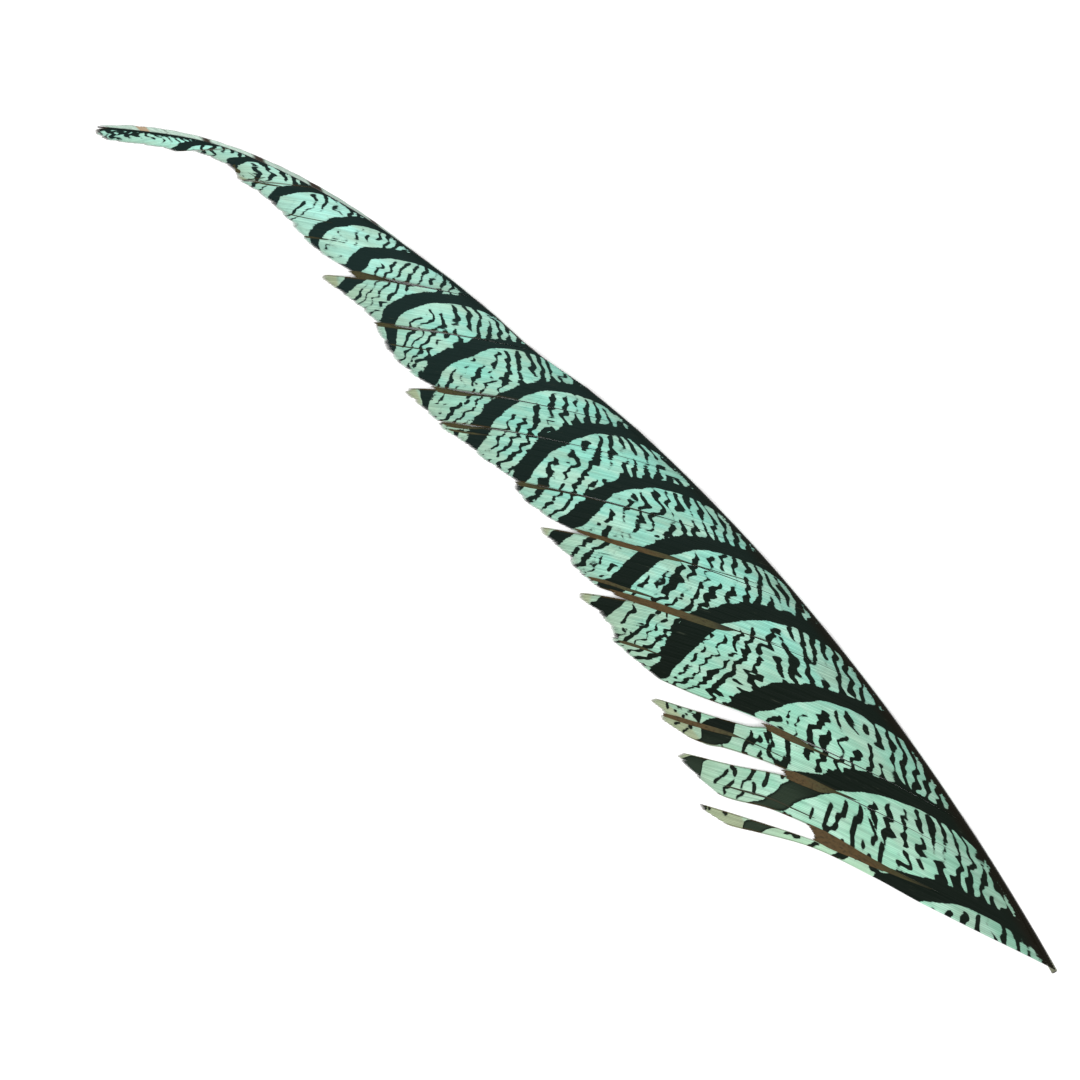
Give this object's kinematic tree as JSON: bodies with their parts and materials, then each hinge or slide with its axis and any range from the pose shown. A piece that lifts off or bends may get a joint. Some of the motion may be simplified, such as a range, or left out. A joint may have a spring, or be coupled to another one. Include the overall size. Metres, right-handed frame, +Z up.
{
  "type": "pheasant tail feather",
  "caption": "Long curved barred pheasant tail feather, dyed mint, with one broad split vane and a narrow vane folded under; lies flat on a surface.",
  "frame": {"origin": "middle of the feather's footprint, on the surface it lies on", "axes": "+X from the cut end of the quill to the tip, +Y towards the broad vane's edge, +Z up, out of the patterned side"},
  "size_m": [0.4011, 0.0761, 0.0086],
  "materials": {
    "feather": "matte"
  },
  "bodies": {
    "root": {"feather": "feather"}
  },
  "joints": []
}
